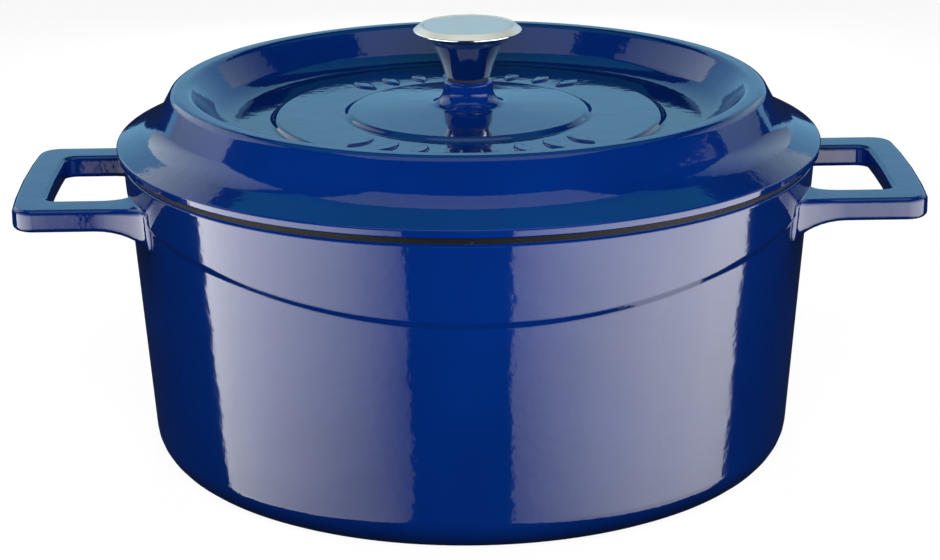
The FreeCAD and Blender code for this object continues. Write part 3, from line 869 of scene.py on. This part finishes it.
def studio_world():
    """White to the camera, and nearly black in reflections, which the panels fill."""
    world = bpy.data.worlds.new("studio")
    bpy.context.scene.world = world
    world.use_nodes = True
    tree = world.node_tree
    back = tree.nodes["Background"]
    path = tree.nodes.new("ShaderNodeLightPath")
    seen = between(tree, path.outputs["Is Camera Ray"], (0.012, 0.016, 0.022), (0.99, 0.99, 0.99))
    tree.links.new(seen, back.inputs["Color"])


def studio_camera(stage):
    """The camera in front, looking down at the lid."""
    camera = bpy.data.objects.new("camera", bpy.data.cameras.new("camera"))
    bpy.context.scene.collection.objects.link(camera)
    turned_by = (Matrix.Rotation(-stage.heading, 3, "Z") @ Matrix.Rotation(math.pi / 2 - stage.pitch, 3, "X")
                 @ Matrix.Rotation(-stage.roll, 3, "Z"))
    camera.location = stage.camera
    camera.rotation_euler = turned_by.to_euler()
    camera.data.lens = stage.lens
    camera.data.sensor_width = 36.0
    camera.data.clip_start, camera.data.clip_end = 0.01, 100.0
    bpy.context.scene.camera = camera


# ---- operators ----

class OVEN_OT_pot(bpy.types.Operator):
    """Model the pot casting: vessel, band and both handles"""
    bl_idname = "oven.pot"
    bl_label = "Pot"

    def execute(self, context):
        scene = context.scene
        bm = vessel(scene.oven_pot)
        handle = loop_handle(scene.oven_pot, scene.oven_handles)
        join(bm, handle)
        join(bm, handle, math.pi)
        handle.free()
        looks = scene.oven_finishes
        cast("pot_casting", bm, [cobalt(looks), matte_black(looks)], "pot", "pot")
        return {"FINISHED"}


class OVEN_OT_lid(bpy.types.Operator):
    """Model the lid casting with its petals and basting bumps"""
    bl_idname = "oven.lid"
    bl_label = "Lid"

    def execute(self, context):
        lid = context.scene.oven_lid
        looks = context.scene.oven_finishes
        bm = lid_casting(lid)
        for part in (petal_arc(lid, 0.0), petal_arc(lid, math.pi),
                     basting_bumps(lid, lid.inner_bumps, lid.inner_count),
                     basting_bumps(lid, lid.outer_bumps, lid.outer_count)):
            join(bm, part)
            part.free()
        cast("lid_casting", bm, [cobalt(looks), matte_black(looks)], "lid", "lid")
        return {"FINISHED"}


class OVEN_OT_knob(bpy.types.Operator):
    """Model the knob and the satin face in its top"""
    bl_idname = "oven.knob"
    bl_label = "Knob"

    def execute(self, context):
        knob = context.scene.oven_knob
        looks = context.scene.oven_finishes
        polished = metal("polished_steel", looks.steel, rough=0.10, smooth=0.05, rings=0.15, depth=0.000004)
        satin = metal("satin_steel", looks.satin, rough=0.36, smooth=0.28, rings=1.0, depth=0.000012,
                      metallic=0.35)
        cast("knob_body", knob_turning(knob), [polished, satin], "lid", "knob")
        cast("knob_disc", face_turning(knob), [satin], "lid", "knob_face")
        return {"FINISHED"}


class OVEN_OT_fastening(bpy.types.Operator):
    """Finish the screw, washers and gasket that hold the knob"""
    bl_idname = "oven.fastening"
    bl_label = "Fastening"

    def execute(self, context):
        looks = context.scene.oven_finishes
        bright = metal("bright_fastener", looks.steel, rough=0.30, smooth=0.20, rings=0.6, depth=0.000008)
        soft = silicone(looks, flow())
        kept = {"knob_screw": bright, "flat_washer": bright, "spring_washer": bright, "knob_gasket": soft}
        for node, material in kept.items():
            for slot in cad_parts[node].material_slots:
                slot.material = material
        return {"FINISHED"}


class OVEN_OT_stage(bpy.types.Operator):
    """Set up the floor, the light panels, the world and the camera"""
    bl_idname = "oven.stage"
    bl_label = "Stage"

    def execute(self, context):
        stage = context.scene.oven_stage
        context.scene.view_settings.view_transform = "Standard"
        studio_floor(stage)
        studio_world()
        studio_camera(stage)
        side_panels()
        high_panels()
        soft_lights()
        return {"FINISHED"}


class OVEN_PT_panel(bpy.types.Panel):
    """Sizes, finishes and the pieces to make"""
    bl_idname = "OVEN_PT_panel"
    bl_label = "Dutch Oven"
    bl_space_type = "VIEW_3D"
    bl_region_type = "UI"
    bl_category = "Dutch Oven"

    def draw(self, context):
        for operator in OPERATORS:
            self.layout.operator(operator.bl_idname)
        for group in GROUPS:
            box = self.layout.box()
            box.label(text=group.replace("oven_", "").capitalize())
            sizes = getattr(context.scene, group)
            for name in sizes.bl_rna.properties.keys():
                if name not in ("rna_type", "name"):
                    box.prop(sizes, name)


OPERATORS = (OVEN_OT_pot, OVEN_OT_lid, OVEN_OT_knob, OVEN_OT_fastening, OVEN_OT_stage)


def register():
    for kind in (*GROUPS.values(), *OPERATORS, OVEN_PT_panel):
        bpy.utils.register_class(kind)
    for name, kind in GROUPS.items():
        setattr(bpy.types.Scene, name, PointerProperty(type=kind))


def unregister():
    for name in GROUPS:
        delattr(bpy.types.Scene, name)
    for kind in reversed((*GROUPS.values(), *OPERATORS, OVEN_PT_panel)):
        bpy.utils.unregister_class(kind)


def main():
    register()
    for operator in OPERATORS:
        family, name = operator.bl_idname.split(".")
        getattr(getattr(bpy.ops, family), name)()


if __name__ == "__main__":
    main()
